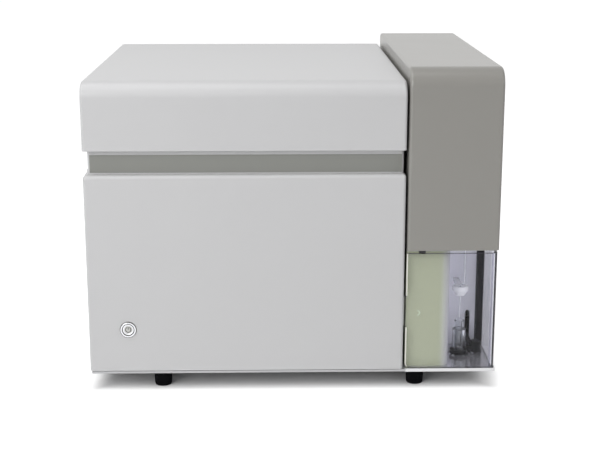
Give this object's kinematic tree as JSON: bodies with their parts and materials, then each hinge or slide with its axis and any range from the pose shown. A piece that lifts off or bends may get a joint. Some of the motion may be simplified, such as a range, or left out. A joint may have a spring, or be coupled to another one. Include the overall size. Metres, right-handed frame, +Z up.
{
  "type": "flow cytometer",
  "caption": "Bench-top flow cytometer: wide cabinet with rear-hinged lid, recessed belt and push-button, beside a taller tower with a clear-doored sample bay and sample lift.",
  "frame": {"origin": "on the bench surface under the centre of the instrument's bounding box", "axes": "+Z up, the front with the door and button faces -Y, +X to the right of someone facing the front"},
  "size_m": [0.54, 0.4836, 0.4276],
  "materials": {
    "light_paint": "fine satin paint",
    "warm_paint": "fine satin paint",
    "rear_paint": "satin powder coat",
    "inlay": "satin",
    "bay_paint": "satin",
    "bay_floor": "polished",
    "plated_steel": "zinc plated",
    "bright_steel": "polished",
    "aluminium": "machined",
    "anodised": "black anodised",
    "black_metal": "gloss black",
    "black_plastic": "moulded",
    "white_plastic": "moulded",
    "rubber": "matt",
    "quartz": "polished",
    "smoked_acrylic": "polished",
    "clear_acrylic": "polished",
    "fibre_jacket": "glossy",
    "circuit_board": "solder mask",
    "tubing": "translucent"
  },
  "bodies": {
    "instrument": {"base_tray": "rear_paint", "feet": "rubber", "front_panel": "light_paint", "left_panel": "light_paint", "right_panel": "light_paint", "rear_panel": "rear_paint", "belt": "light_paint", "belt_inlay": "inlay", "lid_bumpers": "rubber", "lid_hinge_brackets": "plated_steel", "lid_hinge_pins": "bright_steel", "button_bezel": "bright_steel", "button_switch": "black_plastic", "bench_frame": "plated_steel", "bench_isolators": "rubber", "optical_bench": "aluminium", "violet_laser": "anodised", "blue_laser": "anodised", "red_laser": "anodised", "beam_mirrors": "anodised", "lens_barrels": "anodised", "flow_cell_block": "aluminium", "flow_cell": "quartz", "detector_modules": "anodised", "optical_fibres": "fibre_jacket", "main_board": "circuit_board", "power_supply": "plated_steel", "power_inlet": "black_plastic", "data_ports": "plated_steel", "fan_frames": "black_plastic", "fan_guards": "bright_steel", "sheath_pump": "black_plastic", "sheath_filter": "white_plastic", "valve_block": "white_plastic", "fluid_ports": "white_plastic", "fluid_tubing": "tubing", "tower_cover": "warm_paint", "tower_lower_shell": "warm_paint", "tower_frame": "plated_steel", "bay_liner": "bay_paint", "bay_floor": "bay_floor", "door_catch": "black_plastic", "lift_frame": "plated_steel", "lift_motor": "black_metal", "sample_probe": "bright_steel", "wash_station": "clear_acrylic", "sample_pump": "black_plastic"},
    "lid": {"top_lid": "light_paint", "lid_hinge_leaves": "plated_steel"},
    "button": {"power_button": "bright_steel"},
    "door": {"sample_door": "smoked_acrylic", "door_pivot_bar": "black_metal"},
    "lift": {"lift_carriage": "black_metal", "tube_holder": "clear_acrylic", "sample_tube": "clear_acrylic"},
    "lead_screw": {"lift_screw": "bright_steel"},
    "left_fan": {"fan_rotor_left": "black_plastic"},
    "right_fan": {"fan_rotor_right": "black_plastic"},
    "pump_wheel": {"pump_rotor": "white_plastic"}
  },
  "joints": [
    {"name": "lid_hinge", "type": "hinge", "parent": "instrument", "child": "lid", "pos_m": [0, 0.23375, 0.317], "axis": [-1, 0, 0], "range_deg": [0, 70]},
    {"name": "button_press", "type": "slide", "parent": "instrument", "child": "button", "axis": [0, 1, 0], "range_m": [0, 0.0025], "stiffness_N_per_m": 500},
    {"name": "door_hinge", "type": "hinge", "parent": "instrument", "child": "door", "pos_m": [0.2599, -0.15225, 0.1], "axis": [0, 0, 1], "range_deg": [0, 100]},
    {"name": "sample_lift", "type": "slide", "parent": "instrument", "child": "lift", "axis": [0, 0, 1], "range_m": [0, 0.034]},
    {"name": "screw_turn", "type": "hinge", "parent": "instrument", "child": "lead_screw", "pos_m": [0.246, -0.11625, 0.09], "axis": [0, 0, 1], "range_deg": [-1540, 0]},
    {"name": "left_fan_spin", "type": "hinge", "parent": "instrument", "child": "left_fan", "pos_m": [-0.192, 0.213, 0.168], "axis": [0, 1, 0], "continuous": true},
    {"name": "right_fan_spin", "type": "hinge", "parent": "instrument", "child": "right_fan", "pos_m": [-0.096, 0.213, 0.168], "axis": [0, 1, 0], "continuous": true},
    {"name": "pump_spin", "type": "hinge", "parent": "instrument", "child": "pump_wheel", "pos_m": [0.197, -0.19, 0.236], "axis": [0, 1, 0], "continuous": true}
  ],
  "couplings": [
    {"joint": "screw_turn", "follows": "sample_lift", "rad_per_m": -785.4}
  ]
}
